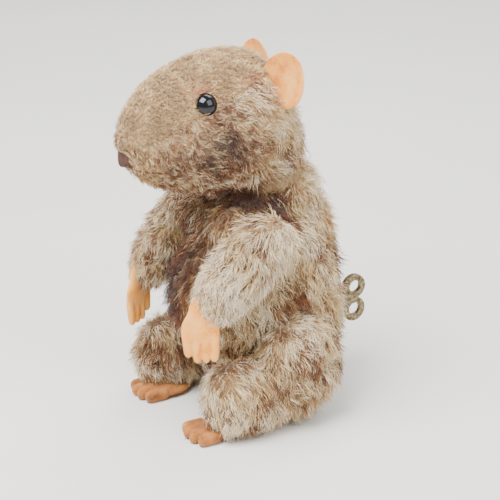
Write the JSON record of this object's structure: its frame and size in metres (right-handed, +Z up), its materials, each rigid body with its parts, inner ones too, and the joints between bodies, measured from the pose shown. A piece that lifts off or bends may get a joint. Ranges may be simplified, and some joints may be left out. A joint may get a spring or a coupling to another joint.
{
  "type": "clockwork mouse",
  "caption": "Seated clockwork toy mouse in mohair plush with felt ears, hands and feet, a winding key at the back and a head that nods.",
  "frame": {"origin": "on the surface it sits on, below the middle of its overall box", "axes": "+Z up, the mouse faces -Y, its left side is +X"},
  "size_m": [0.0564, 0.0792, 0.105],
  "materials": {
    "mohair": "mottled woven mohair plush, cream at the root and brown at the tip",
    "clipped_plush": "short clipped plush over the top of the head",
    "felt": "pressed wool felt, cut and left with raw edges",
    "black_glass": "black glass, polished",
    "embroidery_thread": "twisted cotton thread, dark brown",
    "cardboard": "pressed card",
    "brass": "stamped brass, dull",
    "tinplate": "tinplate, dull",
    "blued_steel": "blued spring steel",
    "aged_steel": "nickel-plated steel, worn and browned",
    "bright_steel": "drawn steel"
  },
  "bodies": {
    "torso": {"body_plush": "mohair", "leg_left": "mohair", "foot_left": "felt", "leg_right": "mohair", "foot_right": "felt", "shoulder_disc_body_left": "cardboard", "shoulder_pin_left": "bright_steel", "shoulder_disc_body_right": "cardboard", "shoulder_pin_right": "bright_steel", "front_plate": "tinplate", "back_plate": "tinplate", "pillar_1": "bright_steel", "pillar_nut_1": "brass", "pillar_2": "bright_steel", "pillar_nut_2": "brass", "pillar_3": "bright_steel", "pillar_nut_3": "brass", "pillar_4": "bright_steel", "pillar_nut_4": "brass", "movement_case": "tinplate", "neck_bracket": "bright_steel", "neck_pin": "bright_steel", "mainspring": "blued_steel"},
    "key_train": {"winding_key": "aged_steel", "winding_arbor": "bright_steel", "great_wheel": "brass", "ratchet_wheel": "bright_steel", "ratchet_click": "bright_steel"},
    "crank_train": {"crank_arbor": "bright_steel", "crank_pinion": "brass", "second_wheel": "brass", "crank_disc": "brass"},
    "fly_train": {"fly_arbor": "bright_steel", "fly_pinion": "brass", "fly_vane": "tinplate"},
    "head": {"head_plush": "clipped_plush", "head_lever": "bright_steel", "ear_left": "felt", "ear_right": "felt", "eye_left": "black_glass", "eye_right": "black_glass", "nose_stitching": "embroidery_thread"},
    "link": {"nod_link": "bright_steel"},
    "left_arm": {"arm_left": "mohair", "hand_left": "felt", "shoulder_disc_arm_left": "cardboard"},
    "right_arm": {"arm_right": "mohair", "hand_right": "felt", "shoulder_disc_arm_right": "cardboard"}
  },
  "joints": [
    {"name": "key_turn", "type": "hinge", "parent": "torso", "child": "key_train", "pos_m": [0, 0.016, 0.024], "axis": [0, 1, 0], "continuous": true},
    {"name": "crank_turn", "type": "hinge", "parent": "torso", "child": "crank_train", "pos_m": [0, 0.008, 0.0354], "axis": [0, 1, 0], "continuous": true},
    {"name": "fly_turn", "type": "hinge", "parent": "torso", "child": "fly_train", "pos_m": [-0.00662, 0.008, 0.04057], "axis": [0, 1, 0], "continuous": true},
    {"name": "head_nod", "type": "hinge", "parent": "torso", "child": "head", "pos_m": [0, 0.0035, 0.066], "axis": [-1, 0, 0], "range_deg": [-10, 8]},
    {"name": "link_pivot", "type": "hinge", "parent": "head", "child": "link", "pos_m": [0.0016, -0.004, 0.066], "axis": [-1, 0, 0], "range_deg": [-10, 12]},
    {"name": "left_arm_swing", "type": "hinge", "parent": "torso", "child": "left_arm", "pos_m": [0.016, -0.006, 0.055], "axis": [-1, 0, 0], "range_deg": [-3, 45]},
    {"name": "right_arm_swing", "type": "hinge", "parent": "torso", "child": "right_arm", "pos_m": [-0.016, -0.006, 0.055], "axis": [-1, 0, 0], "range_deg": [0, 45]}
  ],
  "couplings": [
    {"joint": "crank_turn", "follows": "key_turn", "ratio": -3.75},
    {"joint": "fly_turn", "follows": "key_turn", "ratio": 9.375},
    {"joint": "link_pivot", "follows": "head_nod", "ratio": -1}
  ]
}
